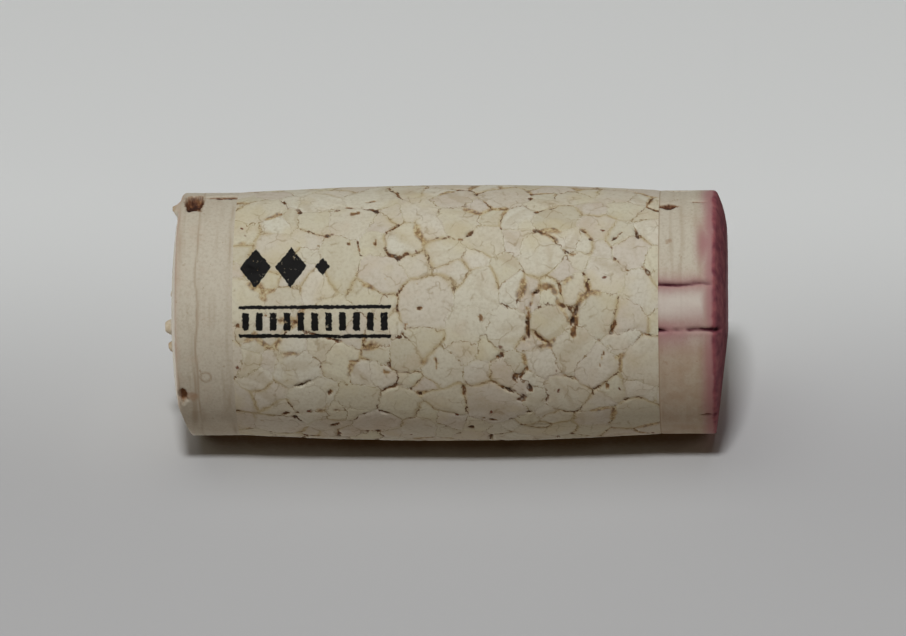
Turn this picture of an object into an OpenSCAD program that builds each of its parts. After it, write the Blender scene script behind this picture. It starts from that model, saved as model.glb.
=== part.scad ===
// Used wine cork of the twin-disc kind, standing on its wine end.
// A body of glued cork granules carries a disc of natural cork on each end.
// Z runs up the cork's axis from the standing face; the front of the cork faces -Y.

/* [Cork] */
// Overall length, from the standing face to the crown of the dry end
cork_len = 44; // [38:0.5:49]
// Diameter of the two natural cork discs
disc_d = 19.3; // [18.5:0.1:21]
// How far the body stands out past the discs at its widest, on each side
belly_swell = 0.5; // [0.2:0.05:1.2]
// Height of the widest ring of the body above the standing face
belly_z = 20; // [15:0.5:25]
// Rounding of the edge between each end and the wall
edge_round = 0.35; // [0.2:0.05:0.7]
// Depth of the pores in the discs
lenticel_depth = 0.5; // [0.25:0.05:0.9]
// Depth of the voids between the granules of the body
void_depth = 0.4; // [0.2:0.05:0.8]

/* [Wine end disc] */
// Thickness of the wine end disc
wine_disc_t = 5.3; // [4.5:0.1:6.5]
// Diameter of the flat middle of the standing face
wine_flat_d = 12; // [8:0.5:14]
// Height over which the standing face rounds up to its edge
wine_rim_h = 0.85; // [0.4:0.05:1.2]
// Slope of the side of the standing face that is worn away, in degrees
wear_slope = 6.5; // [2:0.5:7]
// Distance from the axis at which the worn side starts, towards -X
wear_start = 1.5; // [1:0.25:4]
// Depth of the two cracks that let the wine creep up the disc's wall
crack_depth = 0.7; // [0.4:0.05:1.2]
// Width of those cracks at the wall
crack_w = 0.28; // [0.15:0.01:0.5]

/* [Dry end disc] */
// Thickness of the dry end disc, measured at its crown
dry_disc_t = 5.3; // [4.5:0.1:6.5]
// Height of the crown that the corkscrew pulled up
crown_h = 0.8; // [0.4:0.05:1.4]
// Diameter of the nearly flat top of the crown
crown_flat_d = 3; // [2:0.25:6]
// Slope of the rubbed side of the crown, in degrees
rub_slope = 17; // [8:1:25]
// Distance from the axis at which the rubbed side starts, towards -X
rub_start = 5.3; // [4:0.1:7]
// Width of the hole that the corkscrew left
screw_hole_d = 2.4; // [1.5:0.1:3.5]
// Depth of that hole below the crown
screw_hole_depth = 3.4; // [2:0.1:4]
// Depth of the torn notch in the rim
notch_depth = 0.85; // [0.4:0.05:1.2]
// Thickness of the flake left standing beside the notch
flake_t = 0.45; // [0.3:0.05:0.8]
// Height of that flake above the notch
flake_h = 1.7; // [1:0.1:2.2]

/* [Hidden] */

$fn = 96;
disc_r = disc_d / 2;
dry_joint_z = cork_len - dry_disc_t;

// Places on the wall are given as turns: degrees round from the front, towards +X.
// Lenticels are the pores of natural cork, cut across by the wall as slim channels.
// Each row: turn, height of the middle, length, width.
wine_lenticels = [
    [60, wine_disc_t * 0.86, 1.5, 1.0],
    [64, wine_disc_t * 0.42, 1.5, 0.4],
    [82, wine_disc_t * 0.7, 1.7, 0.7],
    [-57, wine_disc_t * 0.25, 1.1, 0.35],
    [148, wine_disc_t * 0.58, 1.8, 0.6],
    [214, wine_disc_t * 0.46, 1.6, 0.7]
];
dry_lenticels = [
    [73, dry_joint_z + dry_disc_t * 0.17, 3.6, 1.1],
    [132, dry_joint_z + dry_disc_t * 0.38, 2.2, 0.6],
    [196, dry_joint_z + dry_disc_t * 0.3, 2.6, 0.9],
    [251, dry_joint_z + dry_disc_t * 0.45, 1.6, 0.7]
];
// Each row: turn, height of the lower end above the standing face.
wine_cracks = [
    [13, wine_disc_t * 0.26],
    [-9, -wine_rim_h]
];
// Voids between the granules of the body.
// Each row: turn, share of the way up the body, length, width, lean of the void away from the axis.
granule_voids = [
    [-7, 0.3, 3.0, 0.6, 96],
    [10, 0.27, 1.9, 0.5, 10],
    [-3, 0.2, 2.6, 0.7, 70],
    [36, 0.1, 2.2, 0.6, 48],
    [40, 0.05, 2.0, 0.5, 100],
    [40, 0.44, 2.0, 0.6, 45],
    [-34, 0.84, 1.6, 0.5, 20],
    [118, 0.65, 2.4, 0.6, 60],
    [165, 0.25, 2.2, 0.6, 110],
    [230, 0.75, 2.8, 0.6, 35],
    [285, 0.4, 2.0, 0.5, 80]
];
notch_turn = 66;
// Middle of the notch, below the crown
notch_drop = 1.95;
// Outline of the torn notch on the wall: across the wall, along the axis.
notch_outline = [[-1.6, -0.45], [-0.5, -0.7], [0.9, -0.6], [1.6, -0.2], [1.2, 0.5], [-0.2, 0.65], [-1.3, 0.5]];
// Outline of the flake as shares of its width and height.
flake_outline = [[-0.5, -0.4], [0.5, -0.4], [0.42, 0.35], [0.1, 0.8], [-0.22, 1], [-0.4, 0.45]];
flake_w = 2.1;
rim_pit_turn = -42;
// Middle of the rim pit, below the crown
rim_pit_drop = 1.2;
rim_pit_len = 1.7;
rim_pit_w = 0.9;
// Crumbs that the corkscrew lifted round its hole.
// Each row: turn about the hole, distance from its middle, width, height, thickness, lean outwards.
crumbs = [
    [240, 1.8, 1.0, 0.6, 0.4, 15],
    [190, 2.65, 1.0, 0.45, 0.45, 20],
    [15, 1.6, 1.1, 0.3, 0.4, 20],
    [95, 1.55, 1.3, 0.35, 0.35, 35]
];
crumb_seat = 0.4;

// Radius of the arc that rises by s over the half chord h
function sag_r(h, s) = (h * h + s * s) / (2 * s);

// Radius of the body's wall at height z
function body_r(z) =
    let (r = sag_r(z < belly_z ? belly_z - wine_disc_t : dry_joint_z - belly_z, belly_swell))
    disc_r + belly_swell - r + sqrt(r * r - pow(z - belly_z, 2));

// Points of an arc about c, from angle a0 to a1 in n steps
function arc(c, r, a0, a1, n) =
    [for (i = [0:n]) c + r * [cos(a0 + (a1 - a0) * i / n), sin(a0 + (a1 - a0) * i / n)]];

// Half section of an end disc with its outer face up at 0:
// a flat middle, an arc that falls by drop, a rounded edge and a straight wall
module disc_section(thick, flat_r, drop) {
    rho = sag_r(disc_r - flat_r, drop);
    edge_x = disc_r - edge_round;
    edge_y = sqrt(pow(rho - edge_round, 2) - pow(edge_x - flat_r, 2)) - rho;
    meet = atan2(edge_y + rho, edge_x - flat_r);
    polygon(concat(
        [[0, -thick], [0, 0]],
        arc([flat_r, -rho], rho, 90, meet, 10),
        arc([edge_x, edge_y], edge_round, meet * 4 / 5, 0, 4),
        [[disc_r, -thick]]
    ));
}

// Half section of the body: two arcs that meet at the widest ring
module body_section() {
    low = belly_z - wine_disc_t;
    high = dry_joint_z - belly_z;
    low_r = sag_r(low, belly_swell);
    high_r = sag_r(high, belly_swell);
    belly_r = disc_r + belly_swell;
    polygon(concat(
        [[0, wine_disc_t]],
        arc([belly_r - low_r, belly_z], low_r, -asin(low / low_r), 0, 8),
        arc([belly_r - high_r, belly_z], high_r, asin(high / high_r) / 8, asin(high / high_r), 7),
        [[0, dry_joint_z]]
    ));
}

// Puts children on the wall at radius r, with X pointing outwards
module on_wall(turn, z, r) {
    rotate(turn - 90) translate([r, 0, z]) children();
}

// Wedge that opens outwards from the wall, from height z0 to z1
module crack(turn, z0, z1) {
    on_wall(turn, z0, disc_r) linear_extrude(z1 - z0)
        polygon([[-crack_depth, 0], [crack_depth, -crack_w], [crack_depth, crack_w]]);
}

// Outline given across the wall and along the axis, made solid through the wall
module through_wall(depth) {
    rotate([90, 0, 90]) linear_extrude(depth, center = true) children();
}

// Pore or void open in the wall: a pointed oval, long way along Z
module pore(length, width, depth) {
    r = sag_r(length / 2, width / 2);
    through_wall(2 * depth) intersection() {
        translate([r - width / 2, 0]) circle(r);
        translate([width / 2 - r, 0]) circle(r);
    }
}

// Block that reaches from an edge at 0 towards -X, with its lower face level
module slope_block() {
    translate([-2 * disc_d, -disc_d, 0]) cube([2 * disc_d, 2 * disc_d, disc_d]);
}

// Space under the worn side of the standing face
module worn_side() {
    translate([-wear_start, 0, 0]) rotate([0, wear_slope, 0]) mirror([0, 0, 1]) slope_block();
}

// Space over the rubbed side of the crown, from where it leaves the crown's arc
module rubbed_side() {
    rho = sag_r(disc_r - crown_flat_d / 2, crown_h);
    fall = rho - sqrt(rho * rho - pow(rub_start - crown_flat_d / 2, 2));
    translate([-rub_start, 0, cork_len - fall]) rotate([0, -rub_slope, 0]) slope_block();
}

// Natural cork disc at the wine end, soaked dark on its standing face
module wine_end_disc() {
    color("#a18a7a") difference() {
        difference() {
            rotate([180, 0, 0]) rotate_extrude() disc_section(wine_disc_t, wine_flat_d / 2, wine_rim_h);
            worn_side();
            for (c = wine_cracks) crack(c[0], c[1], 2 * wine_disc_t);
        }
        for (l = wine_lenticels) on_wall(l[0], l[1], disc_r) pore(l[2], l[3], lenticel_depth);
    }
}

// Body of cork granules, swollen between the discs
module agglomerate_body() {
    color("#b7ad97") difference() {
        rotate_extrude() body_section();
        for (v = granule_voids) {
            z = wine_disc_t + v[1] * (dry_joint_z - wine_disc_t);
            on_wall(v[0], z, body_r(z)) rotate([v[4], 0, 0]) pore(v[2], v[3], void_depth);
        }
    }
}

// Crumbs standing round the corkscrew's hole
module torn_crumbs() {
    for (c = crumbs)
        rotate(c[0]) translate([c[1], 0, cork_len - crumb_seat]) rotate([0, c[5], 0])
            through_wall(c[4]) polygon([
                [-c[2] / 2, 0], [c[2] / 2, 0], [c[2] * 0.3, crumb_seat + c[3] * 0.6],
                [-c[2] * 0.1, crumb_seat + c[3]], [-c[2] * 0.4, crumb_seat + c[3] * 0.4]
            ]);
}

// Pointed hole that the corkscrew left in the crown
module screw_hole() {
    r = screw_hole_d / 2;
    translate([0, 0, cork_len]) rotate_extrude() polygon([[0, -screw_hole_depth], [r, 0], [r, 1], [0, 1]]);
}

// Flake left standing on the rim beside the notch
module rim_flake() {
    on_wall(notch_turn, cork_len - notch_drop, disc_r - notch_depth * 0.7)
        through_wall(flake_t) polygon([for (p = flake_outline) [p[0] * flake_w, p[1] * flake_h]]);
}

// Natural cork disc at the dry end, with its pulled-up crown and torn rim
module dry_end_disc() {
    color("#b5ad9a") {
        difference() {
            difference() {
                translate([0, 0, cork_len]) rotate_extrude() disc_section(dry_disc_t, crown_flat_d / 2, crown_h);
                rubbed_side();
                screw_hole();
                on_wall(notch_turn, cork_len - notch_drop, disc_r) through_wall(2 * notch_depth) polygon(notch_outline);
            }
            for (l = dry_lenticels) on_wall(l[0], l[1], disc_r) pore(l[2], l[3], lenticel_depth);
            on_wall(rim_pit_turn, cork_len - rim_pit_drop, disc_r)
                rotate([90, 0, 0]) pore(rim_pit_len, rim_pit_w, lenticel_depth);
        }
        rim_flake();
        torn_crumbs();
    }
}

wine_end_disc();
agglomerate_body();
dry_end_disc();
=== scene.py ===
import bpy
import numpy as np
from mathutils import Matrix, Vector


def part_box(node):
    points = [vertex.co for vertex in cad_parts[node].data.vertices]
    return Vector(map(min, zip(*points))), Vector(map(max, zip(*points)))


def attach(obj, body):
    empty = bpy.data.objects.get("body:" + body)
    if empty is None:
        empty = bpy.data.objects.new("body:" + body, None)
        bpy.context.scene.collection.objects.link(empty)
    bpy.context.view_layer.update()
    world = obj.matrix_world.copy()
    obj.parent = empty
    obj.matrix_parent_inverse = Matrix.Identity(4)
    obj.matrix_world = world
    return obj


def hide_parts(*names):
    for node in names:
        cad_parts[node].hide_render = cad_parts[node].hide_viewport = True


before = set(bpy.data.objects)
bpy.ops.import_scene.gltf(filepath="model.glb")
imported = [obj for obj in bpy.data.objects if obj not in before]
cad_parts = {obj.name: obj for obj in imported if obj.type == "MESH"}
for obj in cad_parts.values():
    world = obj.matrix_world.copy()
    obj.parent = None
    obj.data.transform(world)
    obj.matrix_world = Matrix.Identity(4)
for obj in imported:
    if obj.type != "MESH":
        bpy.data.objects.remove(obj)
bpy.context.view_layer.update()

# Agglomerated body: cork granules pressed with a little glue into a rod, cut and ground to
# a cylinder. After years in a neck it has swollen back to a barrel. The granules show as
# pale patches between brown seams, with small voids where they do not quite meet.
MM = 0.001
body_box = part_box("agglomerate_body")
wine_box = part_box("wine_end_disc")
wine_joint = body_box[0][2] / MM
dry_joint = body_box[1][2] / MM
belly_r = (body_box[1][0] - body_box[0][0]) / 2 / MM
disc_r = (wine_box[1][0] - wine_box[0][0]) / 2 / MM
belly_z = 20.0


def wall_radius(z):
    """Barrel radius at height z: two arcs that share the belly and reach the disc radius at
    the joints; an arc that swells by s over a half chord h has radius (h*h + s*s) / 2s."""
    swell = belly_r - disc_r
    half = np.where(z < belly_z, belly_z - wine_joint, dry_joint - belly_z)
    arc = (half**2 + swell**2) / (2 * swell)
    return belly_r - arc + np.sqrt(arc**2 - (z - belly_z) ** 2)


def around_axis(radius, turn, z):
    """Points at a radius and height, turned round the axis from the front (-Y) towards +X."""
    return np.stack([radius * np.sin(turn), -radius * np.cos(turn), z + 0 * turn], axis=-1)


# The wall is a grid of rings; its places are also told as mm round and mm up, unrolled.
turn = np.linspace(0, 2 * np.pi, 440, endpoint=False)[None, :]
wall_z = np.linspace(wine_joint, dry_joint, 212)[:, None]
wall_points = around_axis(wall_radius(wall_z), turn, wall_z)
unrolled_r = 10.0
unrolled_len = 2 * np.pi * unrolled_r


def short_way(step):
    """Steps round the unrolled wall, each taken the short way: less whole turns."""
    return step - unrolled_len * np.round(step / unrolled_len)


# Voids between granules: turn, share of the way up the body, length, width, lean.
body_voids = np.array([
    (-7, 0.30, 3.0, 0.6, 96),
    (10, 0.27, 1.9, 0.5, 10),
    (-3, 0.20, 2.6, 0.7, 70),
    (36, 0.10, 2.2, 0.6, 48),
    (40, 0.05, 2.0, 0.5, 100),
    (40, 0.44, 2.0, 0.6, 45),
    (-34, 0.84, 1.6, 0.5, 20),
    (118, 0.65, 2.4, 0.6, 60),
    (165, 0.25, 2.2, 0.6, 110),
    (230, 0.75, 2.8, 0.6, 35),
    (285, 0.40, 2.0, 0.5, 80),
])
void_at = np.stack([
    np.radians(body_voids[:, 0]) * unrolled_r,
    wine_joint + body_voids[:, 1] * (dry_joint - wine_joint),
], axis=1)
void_lean = np.radians(body_voids[:, 4])
beside_void = 1.5 * np.stack([np.cos(void_lean), np.sin(void_lean)], axis=1)

# Granules: first those that face each other across the voids, then large ones, each put where
# it has most room, then smaller ones between them.
random = np.random.default_rng(44)
granule_at = np.concatenate([
    [(-0.7, 13.65), (-1.1, 16.95), (-0.4, 10.35), (4.1, 14.6)],
    void_at[3:] + beside_void[3:],
    void_at[3:] - beside_void[3:],
])
granule_size = np.concatenate([
    np.full(len(granule_at), 1.6),
    random.uniform(1.7, 2.4, 40),
    random.uniform(1.0, 1.7, 110),
    random.uniform(0.5, 1.0, 240),
])
for count in range(len(granule_at), len(granule_size)):
    tries = random.uniform([0, wine_joint - 0.5], [unrolled_len, dry_joint + 0.5], (60, 2))
    step = tries[:, None] - granule_at[None]
    room = np.hypot(short_way(step[..., 0]), step[..., 1]) - granule_size[:count]
    granule_at = np.vstack([granule_at, tries[np.argmax(room.min(axis=1))]])
granule_lean = random.uniform(0, np.pi, len(granule_size))
granule_tint = random.uniform(0, 1, len(granule_size))


def lattice_noise(points, size, seed):
    """Smooth random field from -1 to 1: random values on a cubic lattice whose points lie
    size mm apart, eased between the eight corners round each point."""
    values = np.random.default_rng(seed).uniform(-1, 1, (64, 64, 64))
    cell = np.floor(points / size).astype(int)
    ease = points / size - cell
    ease = ease * ease * (3 - 2 * ease)
    total = np.zeros(points.shape[:-1])
    for corner in np.ndindex(2, 2, 2):
        weight = np.prod(np.where(np.array(corner) == 1, ease, 1 - ease), axis=-1)
        at = (cell + np.array(corner)) % 64
        total += weight * values[at[..., 0], at[..., 1], at[..., 2]]
    return total


# The grain wanders a little, so that the granules are uneven and their seams ragged. It
# wanders less beside the voids, which keep their places.
wander = 0.8 * np.stack([lattice_noise(wall_points, 4.0, seed) for seed in (1, 2)])
wander += 0.38 * np.stack([lattice_noise(wall_points, 1.4, seed) for seed in (3, 4)])
wander += 0.13 * np.stack([lattice_noise(wall_points, 0.5, seed) for seed in (5, 6)])
near_void = np.zeros(wander.shape[1:])
for at_s, at_z in void_at:
    off = short_way(turn * unrolled_r - at_s) ** 2 + (wall_z - at_z) ** 2
    near_void = np.maximum(near_void, np.exp(-off / 6.0))
wander *= 1 - 0.75 * near_void
unrolled = turn * unrolled_r + wander[0]
height = wall_z + wander[1]

# Each granule claims the wall that is nearest to it, by distance squared less a share of its
# size squared, so that neighbours meet along straight seams. The three nearest are kept: two
# make the seam, and the third makes the corner where seams meet.
nearest = np.full((3, *unrolled.shape), 1e9)
owner = np.zeros((3, *unrolled.shape), dtype=int)
along_grain = np.zeros(unrolled.shape)
across_grain = np.zeros(unrolled.shape)
for count, (at_s, at_z) in enumerate(granule_at):
    step = short_way(unrolled - at_s)
    reach = step**2 + (height - at_z) ** 2 - 0.6 * granule_size[count] ** 2
    first = reach < nearest[0]
    second = ~first & (reach < nearest[1])
    third = ~first & ~second & (reach < nearest[2])
    for place, moved in ((2, first | second), (1, first)):
        nearest[place] = np.where(moved, nearest[place - 1], nearest[place])
        owner[place] = np.where(moved, owner[place - 1], owner[place])
    for place, won in ((0, first), (1, second), (2, third)):
        nearest[place] = np.where(won, reach, nearest[place])
        owner[place] = np.where(won, count, owner[place])
    c, s = np.cos(granule_lean[count]), np.sin(granule_lean[count])
    along_grain = np.where(first, step * c + (height - at_z) * s, along_grain)
    across_grain = np.where(first, (height - at_z) * c - step * s, across_grain)


def seam_distance(other):
    """Distance to the seam with a neighbour: half the difference of the two claims, over the
    distance between the two granules' middles."""
    step = granule_at[owner[other]] - granule_at[owner[0]]
    apart = np.hypot(short_way(step[..., 0]), step[..., 1])
    return (nearest[other] - nearest[0]) / (2 * apart)


def rise(x, low, high):
    """Eased step: 0 at low, 1 at high, with a smooth S between them."""
    t = np.clip((x - low) / (high - low), 0, 1)
    return t * t * (3 - 2 * t)


def ragged_edge(points, seed):
    """Noise of two fine sizes, which moves the edges of tears and pits in and out."""
    return lattice_noise(points, 0.4, seed) + 0.6 * lattice_noise(points, 0.22, seed + 1)


seam_gap = seam_distance(1)
corner_gap = seam_distance(2)
# The sign tells the two sides of a seam apart, so that it can be drawn finer than the grid.
seam_side = np.where(owner[0] < owner[1], seam_gap, -seam_gap)
# A seam's darkness is a fixed chance for its pair of granules, varied along its run.
pairs = np.sort(owner[:2], axis=0)
pair_chance = np.random.default_rng(7).uniform(0, 1, (len(granule_size),) * 2)[pairs[0], pairs[1]]
seam_dark = 1.3 * pair_chance**2 + 0.75 * lattice_noise(wall_points, 0.9, 8) - 0.36
seam_dark = np.clip(seam_dark, 0, 1)
halo = rise(lattice_noise(wall_points, 2.6, 9) + pair_chance, 0.2, 1.1) * np.exp(-seam_gap / 0.22)
crumbled = rise(lattice_noise(wall_points, 2.0, 17), 0.25, 0.6) * np.exp(-((seam_gap / 0.3) ** 2))
ragged = ragged_edge(wall_points, 11)
corner = rise(lattice_noise(wall_points, 2.0, 10), 0.2, 0.6)
corner *= 1 - rise(corner_gap + 0.12 * ragged, 0.06, 0.24)
crevice = rise(seam_dark, 0.8, 1.0) * np.exp(-((seam_gap / 0.12) ** 2))


def pointed_pit(across, along, length, width, lean, ragged):
    """Depth share of a pointed oval pit, from offsets across and along the wall: 1 well inside
    and 0 outside. Its half width falls from the middle to the tips as a parabola, and ragged
    moves its edge in and out. lean turns its long way off the axis, in degrees."""
    c, s = np.cos(np.radians(lean)), np.sin(np.radians(lean))
    long_way, short_side = along * c - across * s, across * c + along * s
    half = width / 2 * (1 - (long_way / (length / 2)) ** 2)
    return rise(half - np.abs(short_side) + 0.13 * ragged, -0.02, 0.2)


# The ragged edge widens a void and blunts its tips, so it is drawn slimmer and longer.
void_depth, void_longer, void_slimmer = 0.4, 1.15, 0.58
void = np.zeros(unrolled.shape)
for (at_s, at_z), (length, width, lean) in zip(void_at, body_voids[:, 2:]):
    length, width = void_longer * length, void_slimmer * width
    shape = pointed_pit(short_way(unrolled - at_s), height - at_z, length, width, lean, ragged)
    void = np.maximum(void, shape)

# Knots, where bark and dust are caught between granules: turn, height, length, width, lean,
# and how dark they are.
knot_shorter, knot_slimmer, knot_ragged = 0.85, 0.7, 0.9
knot = np.zeros(unrolled.shape)
for at_turn, at_z, length, width, lean, tone in (
    (-60, 20.0, 0.9, 0.7, 40, 0.9), (-52, 18.6, 1.2, 0.45, 10, 0.9),
    (-67, 17.0, 1.2, 0.5, -40, 1.0), (32, 29.6, 0.6, 0.6, 0, 0.6),
    (17, 26.5, 0.5, 0.5, 0, 0.6), (-28, 26.5, 0.9, 1.0, 30, 0.45),
    (-25, 29.2, 1.6, 0.55, 8, 0.7), (-51, 34.7, 1.0, 0.7, 25, 0.9),
    (-61, 31.3, 1.1, 0.7, 50, 0.9), (-48, 31.0, 0.7, 0.4, 0, 0.6),
    (-58, 36.6, 0.8, 0.4, 10, 0.7), (-39, 31.4, 0.6, 0.9, 0, 0.7),
    (4, 23.9, 0.7, 0.4, 30, 0.9), (-4, 24.5, 0.5, 0.8, 0, 0.5),
    (60, 28.6, 1.4, 0.5, 25, 0.8), (50, 29.6, 1.3, 0.9, 60, 0.5),
    (29, 27.0, 1.4, 0.4, 90, 0.7), (13, 24.2, 1.1, 0.35, 85, 0.8),
    (-4, 19.2, 0.5, 1.1, 0, 0.5), (-35, 9.2, 1.6, 0.8, 75, 0.6),
    (-19, 9.3, 2.0, 0.45, 80, 0.6), (-8, 9.1, 1.1, 0.4, 60, 0.6),
    (-20, 22.5, 1.8, 0.4, 85, 0.6), (25, 12.3, 1.6, 0.7, 10, 0.45),
):
    step = short_way(unrolled - np.radians(at_turn) * unrolled_r)
    length, width = knot_shorter * length, knot_slimmer * width
    shape = pointed_pit(step, height - at_z, length, width, lean, knot_ragged * ragged)
    knot = np.maximum(knot, tone * shape)


def path_distance(stops):
    """Distance on the unrolled wall to a bent line through stops of turn and height: the least
    of the distances to its straight runs."""
    least = np.full(unrolled.shape, 1e9)
    places = [(np.radians(at_turn) * unrolled_r, at_z) for at_turn, at_z in stops]
    for (from_s, from_z), (to_s, to_z) in zip(places[:-1], places[1:]):
        run_s, run_z = to_s - from_s, to_z - from_z
        step, climb = short_way(unrolled - from_s), height - from_z
        share = np.clip((step * run_s + climb * run_z) / (run_s**2 + run_z**2), 0, 1)
        least = np.minimum(least, np.hypot(step - share * run_s, climb - share * run_z))
    return least


# Torn seams round one granule: the line they follow, their half width, and how dark they are.
tear_dust = np.zeros(unrolled.shape)
for stops, half_width, tone in (
    (((-15, 15.6), (-2, 15.4), (9, 15.1)), 0.06, 0.6),
    (((9, 15.1), (11.5, 14.5), (10.5, 13.5)), 0.14, 0.38),
    (((10.5, 13.5), (3, 12.9), (-4, 12.3)), 0.04, 0.3),
    (((6, 11.5), (-3, 11.8)), 0.22, 0.28),
    (((-3, 11.8), (-10.5, 11.9)), 0.10, 0.65),
):
    off = path_distance(stops) + 0.16 * ragged + 0.1 * lattice_noise(wall_points, 0.8, 18)
    knot = np.maximum(knot, tone * (1 - rise(off, 0.3 * half_width, 1.5 * half_width + 0.03)))
    tear_dust = np.maximum(tear_dust, 0.75 * np.exp(-((off / (0.12 + half_width)) ** 2)))
crumbled = np.maximum(crumbled, np.maximum(tear_dust, 0.8 * rise(knot, 0.0, 0.3)))

# Growth layers inside each granule: noise drawn out along the granule's own grain.
growth_at = np.stack([along_grain / 6, across_grain, owner[0] * 3.7], axis=-1)
growth = 0.55 * lattice_noise(growth_at, 0.4, 15) + 0.45 * lattice_noise(growth_at, 1.0, 16)

# The ground wall is uneven by hundredths of a millimetre, and dips at the glue lines.
joint_dip = np.exp(-(((wall_z - wine_joint) / 0.16) ** 2))
joint_dip = joint_dip + np.exp(-(((wall_z - dry_joint) / 0.16) ** 2))
relief = 0.035 * lattice_noise(wall_points, 5.0, 13) + 0.02 * (granule_tint[owner[0]] - 0.5)
relief += 0.012 * lattice_noise(wall_points, 0.6, 14)
relief -= (0.02 + 0.05 * seam_dark) * np.exp(-((seam_gap / 0.12) ** 2))
relief -= 0.12 * corner + 0.1 * crevice + 0.15 * knot
relief = relief * (1 - joint_dip) - 0.01 * joint_dip - void_depth * void
wall_points = around_axis(wall_radius(wall_z) + relief, turn, wall_z)
end_share = np.array([0.02, 0.5, 0.9])[:, None, None]
low_end = wall_points[0] * [1, 1, 0] * end_share + [0, 0, wine_joint]
high_end = wall_points[-1] * [1, 1, 0] * end_share[::-1] + [0, 0, dry_joint]


def wall_across(turn, at_turn, radius):
    """Distance round the wall from a turn given in degrees, the short way."""
    return ((turn - np.radians(at_turn) + np.pi) % (2 * np.pi) - np.pi) * radius


# Printed ornament near the dry end, as a distance in mm from the ink's edge, negative inside:
# two tall lozenges and a small one, and under them a row of short bars between two rules.
ink_round = wall_across(turn, 0, unrolled_r)
ink_edge = np.full(unrolled.shape, 1e3)
lozenge_round = 3.8
for at_z, half_long, half_tall in ((36.9, 1.25, 1.75), (34.1, 1.25, 1.75), (31.6, 0.6, 0.75)):
    lozenge = np.abs(wall_z - at_z) / half_long + np.abs(ink_round - lozenge_round) / half_tall - 1
    lozenge = lozenge * half_long * half_tall / np.hypot(half_long, half_tall)
    ink_edge = np.minimum(ink_edge, lozenge)
band_round, band_z, band_half = -0.65, 32.2, 6.0
in_band = np.abs(wall_z - band_z) - band_half
rule_off, rule_half = 1.15, 0.15
for rule_round in (band_round - rule_off, band_round + rule_off):
    rule = np.maximum(in_band, np.abs(ink_round - rule_round) - rule_half)
    ink_edge = np.minimum(ink_edge, rule)
bar_pitch, bar_half_long, bar_half_tall = 12.0 / 11, 0.27, 0.72
bar_at = (wall_z - band_z + bar_pitch / 2) % bar_pitch - bar_pitch / 2
bars = np.maximum(np.abs(bar_at) - bar_half_long, np.abs(ink_round - band_round) - bar_half_tall)
ink_edge = np.minimum(ink_edge, np.maximum(bars, in_band))


def ring_mesh(name, points):
    """Closed mesh of rings round the axis: row after row of rings from the lower pole up to
    the upper pole, joined by quads, with a fan of triangles on each pole. It is smooth but for
    the sharp edge round each glued face."""
    rows, cols = points.shape[:2]
    index = np.arange(rows * cols).reshape(rows, cols)
    beside = np.roll(index, -1, axis=1)
    quads = np.stack([index[:-1], beside[:-1], beside[1:], index[1:]], axis=-1).reshape(-1, 4)
    low, high = rows * cols, rows * cols + 1
    low_fan = np.stack([beside[0], index[0], np.full(cols, low)], axis=-1)
    high_fan = np.stack([index[-1], beside[-1], np.full(cols, high)], axis=-1)
    poles = [points[0].mean(axis=0), points[-1].mean(axis=0)]
    vertices = np.concatenate([points.reshape(-1, 3), poles]) * MM
    mesh = bpy.data.meshes.new(name)
    faces = quads.tolist() + low_fan.tolist() + high_fan.tolist()
    mesh.from_pydata(vertices.tolist(), [], faces)
    mesh.polygons.foreach_set("use_smooth", np.ones(len(mesh.polygons), dtype=bool))
    mesh.set_sharp_from_angle(angle=np.radians(75))
    return mesh


def paint_field(mesh, name, field):
    """Stores one number per ring point as a vertex attribute; a pole takes its ring's mean."""
    attribute = mesh.attributes.new(name, "FLOAT", "POINT")
    values = np.concatenate([field.ravel(), [field[0].mean(), field[-1].mean()]])
    attribute.data.foreach_set("value", values.astype(np.float32))


body_mesh = ring_mesh("agglomerate_body", np.concatenate([low_end, wall_points, high_end]))
for name, field in (
    ("seam_side", np.clip(seam_side, -1, 1)),
    ("seam_gap", np.clip(seam_gap, 0, 1)),
    ("seam_dark", seam_dark),
    ("halo", halo),
    ("crumbled", crumbled),
    # The pit field's dark in voids, corners and crevices is partly painted shade.
    ("pit", np.clip(np.maximum.reduce([void, corner, 0.8 * crevice, knot]), 0, 1)),
    ("tint", granule_tint[owner[0]]),
    ("growth", growth),
    ("ink_edge", ink_edge),
):
    # The flat ends' rings take the value of the nearest wall ring.
    paint_field(body_mesh, name, np.pad(field, ((3, 3), (0, 0)), mode="edge"))


def linear(hex_colour):
    """sRGB hex colour to linear red, green, blue and full alpha."""
    srgb = np.array([int(hex_colour[i:i + 2], 16) for i in (1, 3, 5)]) / 255
    value = np.where(srgb <= 0.04045, srgb / 12.92, ((srgb + 0.055) / 1.055) ** 2.4)
    return (*value.tolist(), 1.0)


def add_node(tree, kind, inputs=None, out=0, stops=(), **settings):
    """Adds a shader node and returns its output socket out. inputs maps its sockets to values
    or to other nodes' sockets, settings are its properties, and stops are the places and hex
    colours along a colour ramp."""
    node = tree.nodes.new("ShaderNode" + kind)
    for key, value in settings.items():
        setattr(node, key, value)
    for key, value in (inputs or {}).items():
        if isinstance(value, bpy.types.NodeSocket):
            tree.links.new(value, node.inputs[key])
        else:
            node.inputs[key].default_value = value
    if stops:
        marks = node.color_ramp.elements
        while len(marks) < len(stops):
            marks.new(0.5)
        for mark, (place, hex_colour) in zip(marks, stops):
            mark.position = place
            mark.color = linear(hex_colour)
    return node.outputs[out] if len(node.outputs) else None


def new_material(name):
    """Node material with its default surface shader; returns it with its tree and shader."""
    material = bpy.data.materials.new(name)
    material.use_nodes = True
    return material, material.node_tree, material.node_tree.nodes["Principled BSDF"]


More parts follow.
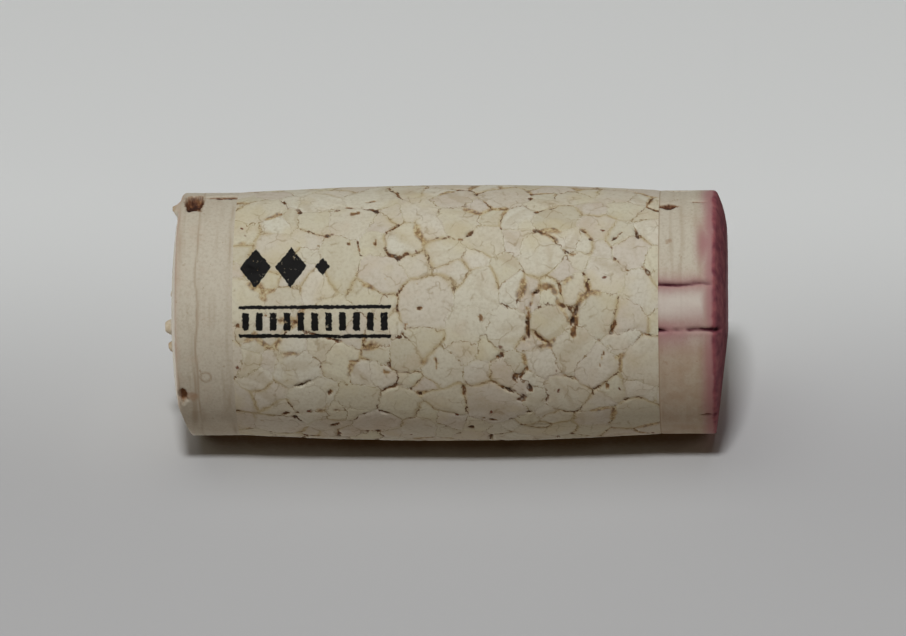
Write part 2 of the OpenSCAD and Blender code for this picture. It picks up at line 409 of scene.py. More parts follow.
def cork_grain(tree, size_mm, detail=2.0, roughness=0.5):
    """Grain of the cork: noise on Object coordinates with features about size_mm across."""
    return add_node(tree, "TexNoise", {
        "Vector": add_node(tree, "TexCoord", out="Object"), "Scale": 1 / (size_mm * MM),
        "Detail": detail, "Roughness": roughness,
    }, out="Fac")


# A share is eased by Map Range: socket 0 is the value, 1 and 2 are the ends it runs between,
# and 3 and 4 are what those become, 0 and 1 unless they are given.
smooth = {"interpolation_type": "SMOOTHSTEP"}


def grain_share(tree, size_mm, low, high, least=0.0, most=1.0, detail=2.0, roughness=0.5):
    """Share that comes and goes with the grain: eased from least to most while the grain goes
    from low to high."""
    grain = cork_grain(tree, size_mm, detail, roughness)
    return add_node(tree, "MapRange", {0: grain, 1: low, 2: high, 3: least, 4: most}, **smooth)


def painted_share(tree, field, low, high, least=0.0, most=1.0):
    """Share read from a field painted on the mesh: eased from least to most while the field
    goes from low to high."""
    value = add_node(tree, "Attribute", out="Fac", attribute_name=field)
    return add_node(tree, "MapRange", {0: value, 1: low, 2: high, 3: least, 4: most}, **smooth)


def stained_cork(tree, cork, layers):
    """Cork colour under layers of stain, each a share and a colour, the later over the
    earlier. A colour is a hex value or the socket of a pattern."""
    for share, colour in layers:
        above = colour if isinstance(colour, bpy.types.NodeSocket) else linear(colour)
        cork = add_node(tree, "Mix", {0: share, 6: cork, 7: above}, out=2, data_type="RGBA")
    return cork


def cork_surface(tree, surface, colour):
    """Dull cork skin: its colour, a fine cell bump and a soft sheen."""
    bump = add_node(tree, "Bump", {
        "Strength": 0.3, "Distance": 0.05 * MM, "Height": cork_grain(tree, 0.18, 3.0, 0.65),
    })
    tree.links.new(colour, surface.inputs["Base Color"])
    tree.links.new(bump, surface.inputs["Normal"])
    surface.inputs["Roughness"].default_value = 0.68
    surface.inputs["Specular IOR Level"].default_value = 0.15


# Agglomerated cork, cut and ground: matte cream granules of slightly different hue, each
# with faint growth streaks, brown seams of dried glue and bark dust, and dark voids.
agglomerated_cork, tree, surface = new_material("agglomerated cork")
tint = add_node(tree, "Attribute", out="Fac", attribute_name="tint")
cork = add_node(tree, "ValToRGB", {0: tint}, stops=[
    (0.0, "#c8c4ae"), (0.17, "#c5bdaf"), (0.34, "#cfcbba"), (0.5, "#beb8a3"),
    (0.66, "#cac5ae"), (0.83, "#c3bbad"), (1.0, "#ccc9b8"),
])
# Faint lines inside the granules, where they were bruised or had begun to part, and specks.
place = add_node(tree, "TexCoord", out="Object")
bend_size, part_size, speck_size = 0.9 * MM, 1.9 * MM, 1.8 * MM
bend = add_node(tree, "TexNoise", {"Vector": place, "Scale": 1 / bend_size}, out="Color")
bent_place = add_node(tree, "VectorMath", {
    0: bend, 1: (bend_size,) * 3, 2: place,
}, operation="MULTIPLY_ADD")
parting = add_node(tree, "TexVoronoi", {
    "Vector": bent_place, "Scale": 1 / part_size,
}, out="Distance", feature="DISTANCE_TO_EDGE")
parting = add_node(tree, "MapRange", {0: parting, 1: 0.045, 2: 0.0}, **smooth)
bruise = add_node(tree, "Math", {
    0: parting, 1: grain_share(tree, 1.2, 0.47, 0.62, 0.0, 0.4),
}, operation="MULTIPLY")
speck = add_node(tree, "TexVoronoi", {
    "Vector": bent_place, "Scale": 1 / speck_size,
}, out="Distance")
chosen = add_node(tree, "SeparateColor", {0: speck.node.outputs["Color"]})
chosen = add_node(tree, "MapRange", {0: chosen, 1: 0.66, 2: 0.76}, **smooth)
speck = add_node(tree, "MapRange", {0: speck, 1: 0.13, 2: 0.06}, **smooth)
speck = add_node(tree, "Math", {0: speck, 1: chosen}, operation="MULTIPLY")
crumbs = add_node(tree, "ValToRGB", {0: cork_grain(tree, 0.35, 3.0, 0.6)}, stops=[
    (0.36, "#5d4028"), (0.45, "#8d6a40"), (0.55, "#b09a6e"), (0.65, "#c2b693"),
])
# Seams: a thin line that wiggles, wider where it is darker, and faint or lost in places.
dark = add_node(tree, "Attribute", out="Fac", attribute_name="seam_dark")
dark = add_node(tree, "Math", {
    0: dark, 1: grain_share(tree, 0.5, 0.4, 0.58, 0.15),
}, operation="MULTIPLY")
edge = add_node(tree, "Attribute", out="Fac", attribute_name="seam_side")
wiggle = grain_share(tree, 0.45, 0.25, 0.75, -0.15, 0.15, 3.0, 0.65)
edge = add_node(tree, "Math", {0: edge, 1: wiggle}, operation="ADD")
edge = add_node(tree, "Math", {0: edge}, operation="ABSOLUTE")
jitter = grain_share(tree, 0.25, 0.3, 0.7, -0.03, 0.04)
edge = add_node(tree, "Math", {0: edge, 1: jitter}, operation="ADD")
edge = add_node(tree, "Math", {0: dark, 1: -0.06, 2: edge}, operation="MULTIPLY_ADD")
seam = add_node(tree, "MapRange", {0: edge, 1: 0.07, 2: 0.0}, **smooth)
near_seam = painted_share(tree, "seam_gap", 0.3, 0.15)
seam = add_node(tree, "Math", {0: seam, 1: near_seam}, operation="MULTIPLY")
strong = add_node(tree, "MapRange", {0: dark, 1: 0.0, 2: 0.7}, **smooth)
faint = grain_share(tree, 1.8, 0.35, 0.65, 0.22, 0.85)
shown = add_node(tree, "Math", {0: faint, 1: strong}, operation="MAXIMUM")
seam = add_node(tree, "Math", {0: seam, 1: shown}, operation="MULTIPLY")
seam_colour = add_node(tree, "ValToRGB", {0: dark}, stops=[
    (0.0, "#867049"), (0.4, "#735637"), (0.8, "#543926"), (1.0, "#3d291c"),
])
# Voids, corners and knots: brown at the edge, dark inside, and broken by paler crumbs.
# The dark inside the voids, corners and crevices is partly painted shade of these hollows;
# in the knots it is bark and dust.
deep = add_node(tree, "Attribute", out="Fac", attribute_name="pit")
deep = add_node(tree, "Math", {
    0: deep, 1: grain_share(tree, 0.4, 0.3, 0.6, 0.5),
}, operation="MULTIPLY")
hollow_colour_and_shade = add_node(tree, "ValToRGB", {0: deep}, stops=[
    (0.2, "#8f6b42"), (0.5, "#604029"), (0.9, "#35241b"),
])
pit = add_node(tree, "Math", {
    0: painted_share(tree, "pit", 0.2, 0.55), 1: grain_share(tree, 0.35, 0.35, 0.5, 0.55, 0.95),
}, operation="MULTIPLY")
# Ink: printed black, with an uneven edge, and worn through where the cork stands proud.
ink = add_node(tree, "Attribute", out="Fac", attribute_name="ink_edge")
ink = add_node(tree, "Math", {
    0: ink, 1: grain_share(tree, 0.25, 0.3, 0.7, -0.04, 0.04),
}, operation="ADD")
ink = add_node(tree, "MapRange", {0: ink, 1: 0.03, 2: -0.03}, **smooth)
ink_left = grain_share(tree, 0.5, 0.62, 0.7, 1.0, 0.35, 4.0, 0.65)
ink = add_node(tree, "Math", {0: ink, 1: ink_left}, operation="MULTIPLY")
cork = stained_cork(tree, cork, [
    (painted_share(tree, "growth", 0.0, 0.7, 0.0, 0.4), "#a8997c"),
    (grain_share(tree, 2.4, 0.45, 0.75, 0.0, 0.35, 3.0), "#b7a287"),
    (grain_share(tree, 0.25, 0.4, 0.75, 0.0, 0.4, 3.0, 0.6), "#a99e84"),
    (grain_share(tree, 3.1, 0.5, 0.7, 0.0, 0.35), "#c3b893"),
    (painted_share(tree, "halo", 0.1, 1.0, 0.0, 0.6), "#a58f5c"),
    (bruise, "#86704a"),
    (painted_share(tree, "crumbled", 0.15, 0.8, 0.0, 0.75), crumbs),
    (seam, seam_colour),
    (pit, hollow_colour_and_shade),
    (speck, "#6d4431"),
    (ink, "#0a0908"),
])
cork_surface(tree, surface, cork)

body = bpy.data.objects.new("agglomerate_body_dressed", body_mesh)
bpy.context.collection.objects.link(body)
body_mesh.materials.append(agglomerated_cork)
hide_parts("agglomerate_body")
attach(body, "root")

# Wine end disc: a slice of natural cork glued to the body, its face to the wine. The face
# has soaked up red wine and swollen over its edge, and two cracks drew the wine up the wall.
edge_round = 0.35
wine_flat_r, wine_rim_drop = 6.0, 0.85


def disc_section(thick, flat_r, drop):
    """Half section of an end disc, outer face up at 0: radius and height from the axis on the
    joint side out to the wall, up it, round the edge, and in along the arc and the flat to the
    axis, with the outward normal of each point. The arc's radius is (w*w + d*d) / 2d for a
    fall of d over a width of w, and the edge's circle lies inside both the arc and the wall."""
    ring_step = 0.12
    wide = disc_r - flat_r
    arc = (wide**2 + drop**2) / (2 * drop)
    edge_x = disc_r - edge_round
    edge_y = np.sqrt((arc - edge_round) ** 2 - (edge_x - flat_r) ** 2) - arc
    meet = np.arctan2(edge_y + arc, edge_x - flat_r)
    joint_x = np.array([0.2, 4, 8, 9.3])
    wall_y = np.linspace(-thick, edge_y, 34)
    edge_a = np.linspace(0, meet, 8)[1:-1]
    arc_a = np.linspace(meet, np.pi / 2, int(wide / ring_step))
    flat_x = np.linspace(flat_r, 0.04, int(flat_r / ring_step) + 2)[1:]
    radius = np.concatenate([
        joint_x, np.full(len(wall_y), disc_r), edge_x + edge_round * np.cos(edge_a),
        flat_r + arc * np.cos(arc_a), flat_x,
    ])
    height = np.concatenate([
        np.full(len(joint_x), -thick), wall_y, edge_y + edge_round * np.sin(edge_a),
        arc * np.sin(arc_a) - arc, 0 * flat_x,
    ])
    lean = np.concatenate([
        np.full(len(joint_x), -np.pi / 2), 0 * wall_y, edge_a, arc_a,
        np.full(len(flat_x), np.pi / 2),
    ])
    return radius, height, np.cos(lean), np.sin(lean)


disc_turn = np.linspace(0, 2 * np.pi, 448, endpoint=False)[None, :]
section = disc_section(wine_joint, wine_flat_r, wine_rim_drop)
radius, depth, out_r, out_z = [part[::-1, None] + 0 * disc_turn for part in section]
# One side of the face is worn to a slope that rises towards -X.
wear_slope, wear_start = np.radians(6.5), 1.5
worn = (-wear_start - radius * np.sin(disc_turn)) * np.tan(wear_slope)
disc_z, out_z = np.maximum(-depth, worn), -out_z
disc_points = around_axis(radius, disc_turn, disc_z)
on_wall = rise(out_r, 0.5, 0.9)
outer = disc_z < wine_joint - 0.05
ragged = ragged_edge(disc_points, 21)

# Lenticels: turn, height as a share of the disc's thickness, length, width.
lenticel_depth = 0.5
pore = np.zeros(radius.shape)
for at_turn, share, length, width in (
    (60, 0.86, 1.5, 1.0), (64, 0.42, 1.5, 0.4), (82, 0.70, 1.7, 0.7),
    (-57, 0.25, 1.1, 0.35), (148, 0.58, 1.8, 0.6), (214, 0.46, 1.6, 0.7),
):
    across, along = wall_across(disc_turn, at_turn, disc_r), disc_z - share * wine_joint
    pore = np.maximum(pore, on_wall * pointed_pit(across, along, 1.2 * length, width, 0, ragged))

# Cracks: turn, how far the wine spread from them, and their width share by height, since
# they open and close along their run. The grid is too coarse for a deeper slit.
crack_width, crack_depth = 0.28, 0.36
crack = np.zeros(radius.shape)
crack_halo = np.zeros(radius.shape)
crack_bend = 0.2 * lattice_noise(disc_points * [1, 1, 0.7], 1.3, 23)
near_wall = rise(radius, 8.3, 9.1)
for at_turn, halo, heights, widths in (
    (13, 0.75, (0.9, 1.4, 3.0, 4.4, 5.3), (0.2, 0.5, 0.6, 0.9, 0.7)),
    (-9, 1.4, (0.0, 1.5, 2.2, 2.9, 3.3, 3.9, 4.4, 5.0, 5.3),
     (1.0, 1.1, 0.6, 0.7, 0.1, 0.5, 0.1, 0.9, 1.2)),
):
    across = np.abs(wall_across(disc_turn, at_turn, disc_r) + crack_bend + 0.05 * ragged)
    opening = np.interp(disc_z, heights, widths) * near_wall
    crack = np.maximum(crack, opening * np.exp(-((across / (crack_width / 2)) ** 2)))
    crept = np.exp(-((across / halo) ** 1.5)) * near_wall
    crack_halo = np.maximum(crack_halo, crept * (0.8 + 0.3 * lattice_noise(disc_points, 1.2, 24)))
# A short third crack lies at the rim, over one of the lenticels.
across, along = wall_across(disc_turn, -57, disc_r), disc_z - 0.95
crack = np.maximum(crack, 0.85 * near_wall * pointed_pit(across, along, 1.1, 0.35, 0, ragged))

# Wine: full on the face up to the wall, then a pink blush that climbs the wall unevenly.
climb = -depth - np.min(-depth[out_r > 0.999])
stain = climb + 0.10 * lattice_noise(disc_points, 0.9, 25) + 0.05 * ragged
stain = 1 - rise(stain, -0.12, 0.14)
glow = 1 - rise(climb + 0.3 * lattice_noise(disc_points, 2.2, 26), 0.1, 1.25)
patch = np.exp(-((wall_across(disc_turn, 34, disc_r) / 2.2) ** 2)) * (1 - rise(climb, 0.6, 1.8))
blush = np.clip(np.maximum.reduce([0.85 * glow, 0.85 * patch, 0.95 * crack_halo]), 0, 1)
# A thin brown wash over the lower side, below the second crack.
wash = rise(-wall_across(disc_turn, -12, disc_r), 0.0, 1.2) * on_wall
wash = wash * rise(wall_across(disc_turn, -150, disc_r), 0.0, 4.0)
wash = wash * (0.75 + 0.25 * lattice_noise(disc_points, 1.6, 27)
               + 0.2 * lattice_noise(disc_points, 0.5, 28))
# Painted sheen: a paler patch between the two cracks stands in for a glossy highlight.
# One faint spot lies above them.
pale = np.exp(-((wall_across(disc_turn, 3.5, disc_r) / 1.25) ** 4)) * on_wall
pale = pale * rise(climb, 0.2, 1.0)
across, along = wall_across(disc_turn, 35, disc_r), disc_z - 4.5
faint_spot = 0.35 * on_wall * pointed_pit(across, along, 1.0, 0.7, 60, ragged)


def growth_bands(points, on_wall, seed):
    """Growth layers of a natural disc, which lie square to the axis: on the wall, noise with
    fine detail along the axis, drawn out twelve times round it so that the lines fade and
    start again; on the faces, plain mottling."""
    bent = points[..., 2] + 0.10 * lattice_noise(points, 3.0, seed)
    flat = np.stack([points[..., 0] / 12, points[..., 1] / 12, bent], axis=-1)
    lines = 0.6 * lattice_noise(flat, 0.22, seed + 1) + 0.5 * lattice_noise(flat, 0.5, seed + 2)
    return on_wall * lines + (1 - on_wall) * 0.5 * lattice_noise(points, 0.6, seed + 3)


def face_pores(points, ragged, seed):
    """Pores of a disc's face, seen end on: round pits with ragged edges, scattered by chance."""
    chance = np.random.default_rng(seed)
    pores = np.zeros(points.shape[:-1])
    for _ in range(26):
        at_r, at_a = 9.0 * np.sqrt(chance.uniform()), chance.uniform(0, 2 * np.pi)
        size = 0.14 + chance.gamma(2, 0.09)
        off_x, off_y = points[..., 0] - at_r * np.cos(at_a), points[..., 1] - at_r * np.sin(at_a)
        reach = np.hypot(off_x, off_y) / size + 0.35 * ragged
        pores = np.maximum(pores, 1 - rise(reach, 0.4, 1.2))
    return pores


face_pore_depth = 0.12
band = growth_bands(disc_points, on_wall, 31)
glue_line = np.exp(-(((disc_z - wine_joint) / 0.08) ** 2))
band = np.maximum(band, 1.3 * on_wall * glue_line)
face_pore = (1 - on_wall) * outer * face_pores(disc_points, ragged, 35)
joint_dip = on_wall * np.exp(-(((disc_z - wine_joint) / 0.14) ** 2))
relief = 0.03 * lattice_noise(disc_points, 4.0, 36) + 0.010 * band + 0.010 * ragged
relief = relief * (1 - joint_dip) * outer - 0.025 * joint_dip
relief -= lenticel_depth * pore + crack_depth * crack + face_pore_depth * face_pore
wine_points = around_axis(radius + relief * out_r, disc_turn, disc_z + relief * out_z)

wine_mesh = ring_mesh("wine_end_disc", wine_points)
for name, field in (
    ("band", band),
    ("pore", np.clip(np.maximum.reduce([1.5 * pore, 0.8 * face_pore, faint_spot]), 0, 1)),
    ("crack", np.clip(crack, 0, 1)),
    ("stain", stain),
    ("blush", blush),
    # pale: the painted sheen between the two cracks.
    ("pale", 0.6 * pale),
    ("wash", 0.55 * np.clip(wash, 0, 1)),
):
    paint_field(wine_mesh, name, field)


def natural_cork_colours(tree):
    """Pale natural cork: growth layers as faint bands, brown grain dust and flecks, and darker
    pores, read from the fields band and pore. On the dry disc the pore field also darkens the
    screw hole, partly as painted shade."""
    cork = add_node(tree, "ValToRGB", {0: painted_share(tree, "band", -0.9, 1.1)}, stops=[
        (0.0, "#c4beaf"), (0.45, "#bfb8a7"), (0.7, "#b7ae9c"), (1.0, "#a3937e"),
    ])
    deep = add_node(tree, "Attribute", out="Fac", attribute_name="pore")
    deep = add_node(tree, "Math", {0: deep, 1: cork_grain(tree, 0.4)}, operation="MULTIPLY")
    pore_colour = add_node(tree, "ValToRGB", {0: deep}, stops=[
        (0.1, "#94714c"), (0.3, "#65412c"), (0.5, "#37221a"),
    ])
    return stained_cork(tree, cork, [
        (grain_share(tree, 1.6, 0.48, 0.78, 0.0, 0.35, 3.0), "#b5a28d"),
        (grain_share(tree, 0.22, 0.4, 0.75, 0.0, 0.5, 3.0, 0.6), "#a79b87"),
        (grain_share(tree, 0.6, 0.63, 0.72, 0.0, 0.45, 4.0, 0.7), "#8d7356"),
        (painted_share(tree, "pore", 0.12, 0.6), pore_colour),
    ])


# Natural cork soaked with red wine: pale on the wall, pink where the wine crept, and a deep
# dull maroon on the face, darkest in the cracks.
wine_stained_cork, tree, surface = new_material("wine stained natural cork")
pale, wash, blush, stain = [
    add_node(tree, "Attribute", out="Fac", attribute_name=name)
    for name in ("pale", "wash", "blush", "stain")
]
soaked = add_node(tree, "ValToRGB", {0: cork_grain(tree, 0.8, 3.0)}, stops=[
    (0.3, "#6b3641"), (0.5, "#82484f"), (0.7, "#93585a"),
])
cork = stained_cork(tree, natural_cork_colours(tree), [
    # Painted sheen: the paler patch between the cracks.
    (pale, "#d4cdc4"),
    (wash, "#9f8064"),
    (blush, "#9b6a6d"),
    (stain, soaked),
    (painted_share(tree, "crack", 0.12, 0.75), "#562832"),
])
cork_surface(tree, surface, cork)

wine_disc = bpy.data.objects.new("wine_end_disc_dressed", wine_mesh)
bpy.context.collection.objects.link(wine_disc)
wine_mesh.materials.append(wine_stained_cork)
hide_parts("wine_end_disc")
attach(wine_disc, "root")

# Dry end disc: a slice of natural cork glued to the other end. The corkscrew has pulled its
# middle up to a crown and torn crumbs loose round its hole, and the rim has a torn notch.
cork_len = 44.0
dry_thick = cork_len - dry_joint
crown_flat_r, crown_drop = 1.5, 0.8
section = disc_section(dry_thick, crown_flat_r, crown_drop)
radius, profile, out_r, out_z = [part[:, None] + 0 * disc_turn for part in section]
# One side of the crown is rubbed to a slope, towards -X; the wall below it ends lower there.
rub_slope, rub_start = np.radians(17), 5.3
crown_arc = ((disc_r - crown_flat_r) ** 2 + crown_drop**2) / (2 * crown_drop)
rub_fall = crown_arc - np.sqrt(crown_arc**2 - (rub_start - crown_flat_r) ** 2)
rubbed = (radius * np.sin(disc_turn) + rub_start) * np.tan(rub_slope) - rub_fall
wall_top = np.max(profile[out_r > 0.999])
squeeze = (np.minimum(wall_top, rubbed) + dry_thick) / (wall_top + dry_thick)
squeezed = (profile + dry_thick) * squeeze - dry_thick
disc_z = cork_len + np.where(out_r > 0.999, squeezed, np.minimum(profile, rubbed))
disc_points = around_axis(radius, disc_turn, disc_z)
on_wall = rise(out_r, 0.5, 0.9)
outer = disc_z > dry_joint + 0.05
ragged = ragged_edge(disc_points, 41)

pore = np.zeros(radius.shape)
for at_turn, share, length, width in (
    (73, 0.17, 3.6, 1.1), (132, 0.38, 2.2, 0.6), (196, 0.30, 2.6, 0.9), (251, 0.45, 1.6, 0.7),
):
    across = wall_across(disc_turn, at_turn, disc_r)
    along = disc_z - dry_joint - share * dry_thick
    pore = np.maximum(pore, on_wall * pointed_pit(across, along, 1.1 * length, width, 0, ragged))

# The rim's pit, and the brown scuff round it.
rim_pit_depth, rim_pit_drop, scuff_drop = 0.4, 1.2, 1.5
on_rim = (radius > 8.6) & outer
across, along = wall_across(disc_turn, -42, disc_r), disc_z - cork_len
rim_pit = pointed_pit(across, along + rim_pit_drop, 1.7, 0.9, 90, 1.6 * ragged) * on_rim
scuff = np.hypot(across / 0.75, (along + scuff_drop) / 0.85)
scuff = on_rim * (1 - rise(scuff + 0.5 * ragged, 0.5, 1.1))
scuff = scuff * (0.7 + 0.6 * lattice_noise(disc_points, 0.6, 61))

# The torn notch is a slanted block with rounded corners: the cube root of two cubes summed.
notch_depth, notch_drop = 0.85, 1.95
across, along = wall_across(disc_turn, 66, disc_r), disc_z - cork_len + notch_drop
tear = np.abs((across + 0.35 * along) / 1.5) ** 3 + np.abs((along - 0.12 * across) / 0.7) ** 3
tear = np.cbrt(tear) + 0.32 * ragged
notch = on_rim * (1 - rise(tear, 0.75, 1.1))
notch_brown = on_rim * (1 - rise(tear, 0.95, 1.35))
# The flake is what is left of the rim above the notch, bent up and out to a point.
flake_lift = 0.55
flake = on_rim * rise(1.15 - np.abs(across + 0.25) + 0.25 * ragged, 0.0, 1.0)
flake *= np.exp(-(((radius - 9.2) / 0.25) ** 2)) * (profile > -crown_drop - 0.35)

# Screw hole, and the crumbs that stand up round it: x, y, half width each way, height.
hole_r, hole_depth = 1.2, 3.4
face_x, face_y = disc_points[..., 0], disc_points[..., 1]
hole = outer * np.clip(1 - np.hypot(face_x, face_y) / hole_r - 0.08 * ragged, 0, 1)
crumb = np.zeros(radius.shape)
for at_x, at_y, size_x, size_y, lift in (
    (-0.9, -1.6, 0.7, 0.42, 0.62), (-2.6, -0.5, 0.62, 0.42, 0.46),
    (1.55, 0.4, 0.4, 0.7, 0.32), (-0.15, 1.6, 0.7, 0.4, 0.34),
):
    reach = np.hypot((face_x - at_x) / size_x, (face_y - at_y) / size_y) + 0.3 * ragged
    crumb = np.maximum(crumb, lift * (1 - rise(reach, 0.35, 1.0)))
crumb *= outer

band = growth_bands(disc_points, on_wall, 51)
# One growth line stands out as a thin uneven ring, and a small round mark lies below it.
line_drop, mark_turn, mark_z, mark_r = 2.5, -31, 40.9, 0.42
bent = disc_z + 0.18 * lattice_noise(disc_points, 3.0, 55)
bent = bent + 0.06 * lattice_noise(disc_points, 0.9, 59)
line_tone = 0.75 + 0.35 * lattice_noise(disc_points, 2.0, 60)
growth_line = np.exp(-(((bent - cork_len + line_drop) / 0.1) ** 2))
mark = np.hypot(wall_across(disc_turn, mark_turn, disc_r), disc_z - mark_z)
mark = np.exp(-(((mark - mark_r) / 0.09) ** 2))
band = np.maximum.reduce([band, line_tone * on_wall * growth_line, on_wall * mark])
face_pore = (1 - on_wall) * outer * face_pores(disc_points, ragged, 56)
joint_dip = on_wall * np.exp(-(((disc_z - dry_joint) / 0.14) ** 2))
relief = 0.03 * lattice_noise(disc_points, 4.0, 57) + 0.010 * band + 0.012 * ragged
relief = relief * (1 - joint_dip) * outer - 0.006 * joint_dip
relief -= lenticel_depth * pore + rim_pit_depth * rim_pit + face_pore_depth * face_pore
relief -= notch_depth * notch * out_r
lifted = crumb + flake_lift * flake - hole_depth * hole
dry_points = around_axis(radius + relief * out_r, disc_turn, disc_z + relief * out_z + lifted)

# The edge of the crown is rubbed, more in some places than in others.
rim = np.exp(-(((radius - 9.45) / 0.22) ** 2)) * outer
rim = rim * (1 - rise(-profile, crown_drop + 0.3, crown_drop + 0.65))
rim = rim * (0.7 + 0.3 * lattice_noise(disc_points, 1.5, 58))

dry_mesh = ring_mesh("dry_end_disc", dry_points)
for name, field in (
    ("band", band),
    # The screw hole takes the darkest pore colour, partly painted shade inside it.
    ("pore", np.clip(np.maximum.reduce([
        1.3 * pore, 0.7 * face_pore, 0.9 * notch, 0.5 * notch_brown, 0.6 * rim_pit, 1.6 * hole,
    ]), 0, 1)),
    ("scuff", 0.6 * np.clip(scuff, 0, 1)),
    ("rim", rim),
    ("torn", np.clip(crumb / 0.4 + 0.8 * flake, 0, 1)),
):
    paint_field(dry_mesh, name, field)

# Natural cork, sliced and ground: pale grey cream with growth bands along the wall, brown
# pores, a screw hole darkened partly as painted shade, a rubbed pinkish brown edge, and raw
# tan cork on the torn crumbs.
natural_cork, tree, surface = new_material("natural cork")
scuff = add_node(tree, "Attribute", out="Fac", attribute_name="scuff")
raw = add_node(tree, "ValToRGB", {0: cork_grain(tree, 0.7)}, stops=[
    (0.35, "#c4b69c"), (0.6, "#a08258"),
])
cork = stained_cork(tree, natural_cork_colours(tree), [
    (painted_share(tree, "rim", 0.1, 0.9, 0.0, 0.6), "#a98a76"),
    (scuff, "#9a6f48"),
    (painted_share(tree, "torn", 0.1, 0.8, 0.0, 0.6), raw),
])
cork_surface(tree, surface, cork)

dry_disc = bpy.data.objects.new("dry_end_disc_dressed", dry_mesh)
bpy.context.collection.objects.link(dry_disc)
dry_mesh.materials.append(natural_cork)
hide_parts("dry_end_disc")
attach(dry_disc, "root")

# Stage: a pale floor that the cork stands on, and a pale cloth that its side touches. Each
# shows on its own side alone, and neither stops a lamp's light from reaching the cork. Both
# have painted shade: their colour turns brown and dark in the narrow space beside the cork,
# where the Ambient Occlusion node finds little light coming in.
sheet_size = 2.4
cloth_tilt = np.radians(25.5)


def stage_sheet(name, place, ends, colours, bounces):
    """Square sheet facing its own +Z at place, seen from that side alone, and there for light
    bounced off it by the share bounces. It goes from the first of its two colours to the
    second between two ends, given in mm along X, a painted fall-off of light where the two
    differ, and it is painted dark brown as shade where the cork is close."""
    half = sheet_size / 2
    mesh = bpy.data.meshes.new(name)
    corners = [(-half, -half, 0), (half, -half, 0), (half, half, 0), (-half, half, 0)]
    mesh.from_pydata([place @ Vector(c) for c in corners], [], [(0, 1, 2, 3)])
    sheet, tree, _ = new_material(name)
    tree.nodes.clear()
    seen = add_node(tree, "Math", {
        0: add_node(tree, "LightPath", out="Is Diffuse Ray"), 1: bounces,
    }, operation="MULTIPLY")
    for ray in ("Is Camera Ray", "Is Glossy Ray", "Is Transmission Ray"):
        seen = add_node(tree, "Math", {
            0: seen, 1: add_node(tree, "LightPath", out=ray),
        }, operation="MAXIMUM")
    behind = add_node(tree, "NewGeometry", out="Backfacing")
    there = add_node(tree, "Math", {0: seen, 1: behind}, operation="SUBTRACT", use_clamp=True)
    along = add_node(tree, "SeparateXYZ", {0: add_node(tree, "TexCoord", out="Object")}, out="X")
    along = add_node(tree, "MapRange", {0: along, 1: ends[0] * MM, 2: ends[1] * MM}, **smooth)
    colour = add_node(tree, "ValToRGB", {0: along}, stops=[(0.0, colours[0]), (1.0, colours[1])])
    # Painted shade: a contact shadow beside the cork, mixed into the sheet's colour by ambient
    # occlusion.
    lit = add_node(tree, "AmbientOcclusion", {"Distance": 12 * MM}, out="AO")
    lit = add_node(tree, "MapRange", {0: lit, 1: 0.08, 2: 0.28}, **smooth)
    colour = add_node(tree, "Mix", {
        0: lit, 6: linear("#5a452f"), 7: colour,
    }, out=2, data_type="RGBA")
    clear = add_node(tree, "BsdfTransparent")
    pale = add_node(tree, "BsdfDiffuse", {"Color": colour})
    mixed = add_node(tree, "MixShader", {0: there, 1: clear, 2: pale})
    add_node(tree, "OutputMaterial", {"Surface": mixed})
    mesh.materials.append(sheet)
    obj = bpy.data.objects.new(name, mesh)
    obj.visible_shadow = False
    bpy.context.collection.objects.link(obj)


cloth_out = Vector((np.cos(cloth_tilt), -np.sin(cloth_tilt), 0))
cloth_turn = cloth_out.to_track_quat("Z", "Y").to_matrix().to_4x4()
cloth_place = Matrix.Translation(-cloth_out * belly_r * MM) @ cloth_turn
floor_place = Matrix.Translation((0, 0, 0.02 * MM))
stage_sheet("floor", floor_place, (-30, 30), ("#d0d0ce", "#d0d0ce"), 0.0)
# Painted light: the cloth is darker towards its own -X and lighter towards +X, a painted fall-off
# of the light across it.
stage_sheet("cloth", cloth_place, (-14, 11), ("#b8b9ba", "#e2e5e5"), 0.55)

# Light: a small lamp close over the camera, a broad one above it and a dim warm one below,
# weaker ones behind, overhead and at the wine end, and a dim warm surround, together about
# as bright as daylight on a white card.
world = bpy.data.worlds.new("surround")
bpy.context.scene.world = world
world.use_nodes = True
world.node_tree.nodes["Background"].inputs["Color"].default_value = linear("#ffe2c4")
world.node_tree.nodes["Background"].inputs["Strength"].default_value = 0.05


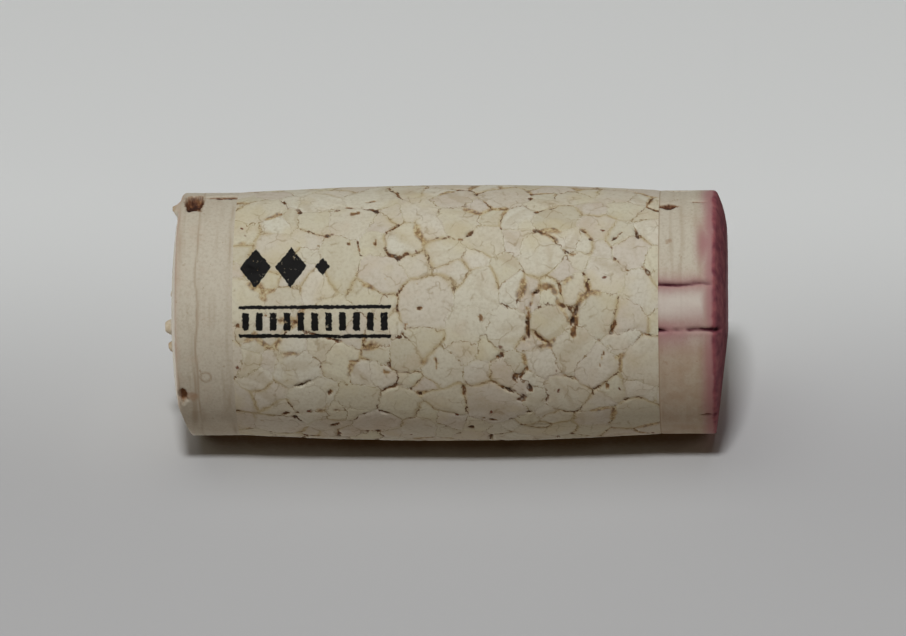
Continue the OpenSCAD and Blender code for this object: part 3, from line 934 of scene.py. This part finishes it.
def soft_lamp(name, towards, distance, size, power, colour="#ffffff"):
    """Square area lamp at a distance along a direction from the cork's middle, facing it."""
    lamp = bpy.data.lights.new(name, "AREA")
    lamp.size, lamp.energy = size, power
    lamp.color = linear(colour)[:3]
    obj = bpy.data.objects.new(name, lamp)
    way = Vector(towards).normalized()
    obj.location = Vector((0, 0, cork_len / 2 * MM)) + way * distance
    obj.rotation_mode = "QUATERNION"
    obj.rotation_quaternion = way.to_track_quat("Z", "Y")
    obj.visible_camera = False
    bpy.context.collection.objects.link(obj)


soft_lamp("camera lamp", (0.53, -0.848, 0.02), 0.9, 0.12, 5.1)
soft_lamp("broad lamp", (0.88, -0.46, 0.10), 1.0, 0.9, 2.4)
soft_lamp("low lamp", (-0.95, -0.3, 0.0), 1.0, 0.7, 0.6, "#ffd0a0")
soft_lamp("back lamp", (0.0, 0.9, 0.35), 1.0, 0.7, 4.5)
soft_lamp("overhead lamp", (-0.15, 0.35, 1.0), 1.0, 0.7, 4.5)
soft_lamp("end lamp", (-0.2, 0.4, -1.0), 1.0, 0.5, 1.2)

# Camera: level with the cork's side, turned a few degrees towards the wine end and rolled so
# that the cork lies across the picture with its wine end to the right.
picture_width_px = 906
mm_per_px = 0.0795
sensor_width = 36
camera_turn, camera_roll = np.radians(2.6), np.radians(0.25)
camera_distance = 0.65
aim = Vector((-0.0004, 0, 0.0218))
back = Vector((0, -np.cos(camera_turn), -np.sin(camera_turn)))
right = Vector((0, np.sin(camera_turn), -np.cos(camera_turn)))
up = back.cross(right)
right, up = right - up * camera_roll, up + right * camera_roll
camera = bpy.data.objects.new("camera", bpy.data.cameras.new("camera"))
bpy.context.collection.objects.link(camera)
axes = Matrix((right.normalized(), up.normalized(), back)).transposed().to_4x4()
camera.matrix_world = Matrix.Translation(aim + back * camera_distance) @ axes
camera.data.sensor_width = sensor_width
camera.data.lens = sensor_width * camera_distance / (picture_width_px * mm_per_px * MM)
camera.data.clip_start, camera.data.clip_end = 0.01, 10
bpy.context.scene.camera = camera
bpy.context.scene.view_settings.view_transform = "Standard"
